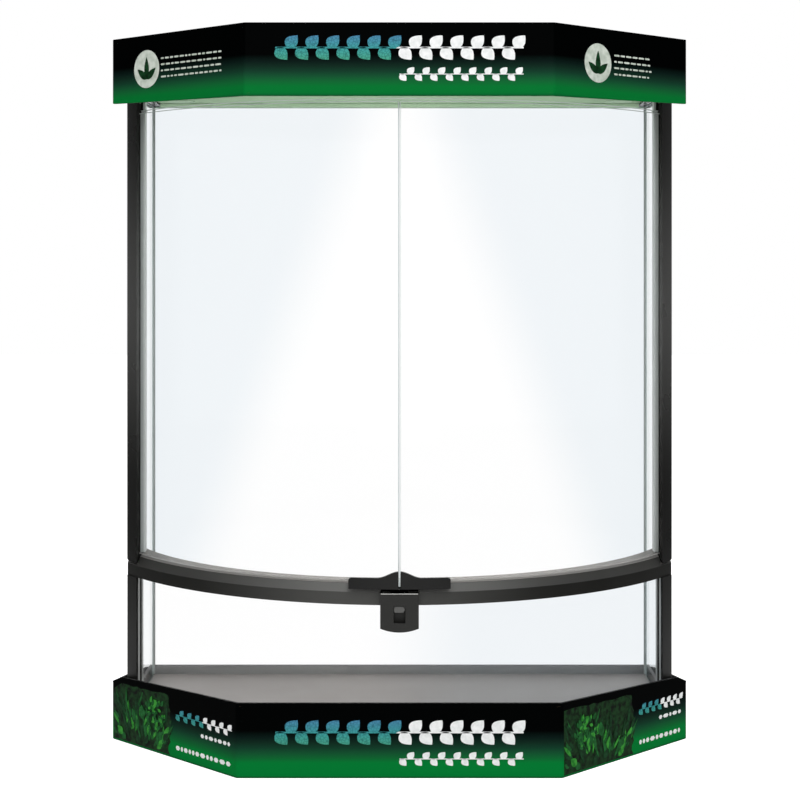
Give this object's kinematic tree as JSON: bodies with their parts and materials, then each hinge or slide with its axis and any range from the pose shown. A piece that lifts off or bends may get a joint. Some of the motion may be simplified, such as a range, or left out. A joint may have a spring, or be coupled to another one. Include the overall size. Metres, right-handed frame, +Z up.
{
  "type": "reptile terrarium",
  "caption": "Half-moon glass terrarium with curved double front doors, thumb latch, mesh lid, and printed card tray and cap.",
  "frame": {"origin": "on the surface it stands on, under the middle of the card tray", "axes": "+Z up, the bow front and its doors face -Y, +X to the right of someone facing the doors"},
  "size_m": [0.575, 0.316, 0.7005],
  "materials": {
    "printed_card": "printed card, black fading to green",
    "white_foam": "white foam blocks",
    "black_rubber": "matt",
    "black_plastic": "fine satin",
    "grey_plastic": "satin",
    "rail_plastic": "satin",
    "pale_plastic": "satin",
    "clear_glass": "clear float glass",
    "silicone": "translucent silicone",
    "pin_steel": "plain steel",
    "pull_plastic": "satin",
    "slider_plastic": "satin",
    "mesh_steel": "galvanised wire"
  },
  "bodies": {
    "enclosure": {"tray_carton": "printed_card", "base_foam_blocks": "white_foam", "rubber_feet": "black_rubber", "base_frame": "black_plastic", "floor_panel": "grey_plastic", "back_pane": "clear_glass", "left_side_pane": "clear_glass", "right_side_pane": "clear_glass", "lower_front_pane": "clear_glass", "upper_front_pane": "clear_glass", "left_side_post": "grey_plastic", "right_side_post": "grey_plastic", "left_lower_post": "black_plastic", "right_lower_post": "black_plastic", "left_hinge_block": "black_plastic", "right_hinge_block": "black_plastic", "front_rail": "rail_plastic", "top_frame": "black_plastic", "rear_top_rail": "pale_plastic", "silicone_beads": "silicone", "hinge_pins": "pin_steel", "latch_housing": "pull_plastic", "latch_leaf": "pin_steel"},
    "left_door": {"left_door_pane": "clear_glass", "left_door_stile": "black_plastic", "left_door_pull": "pull_plastic"},
    "right_door": {"right_door_pane": "clear_glass", "right_door_stile": "black_plastic", "right_door_pull": "pull_plastic"},
    "latch": {"latch_slider": "slider_plastic"},
    "lid": {"lid_frame": "black_plastic", "lid_mesh": "mesh_steel", "cable_grommets": "pale_plastic"},
    "cap": {"cap_carton": "printed_card", "top_foam_blocks": "white_foam"}
  },
  "joints": [
    {"name": "left_door_hinge", "type": "hinge", "parent": "enclosure", "child": "left_door", "pos_m": [-0.2734, 0.01989, 0.4], "axis": [0, 0, 1], "range_deg": [-90, 0]},
    {"name": "right_door_hinge", "type": "hinge", "parent": "enclosure", "child": "right_door", "pos_m": [0.2734, 0.01989, 0.4], "axis": [0, 0, 1], "range_deg": [0, 90]},
    {"name": "latch_slide", "type": "slide", "parent": "enclosure", "child": "latch", "axis": [0, 0, 1], "range_m": [0, 0.004]},
    {"name": "lid_lift", "type": "slide", "parent": "enclosure", "child": "lid", "axis": [0, 0, 1], "range_m": [0, 0.12]},
    {"name": "cap_lift", "type": "slide", "parent": "lid", "child": "cap", "axis": [0, 0, 1], "range_m": [0, 0.12]}
  ]
}
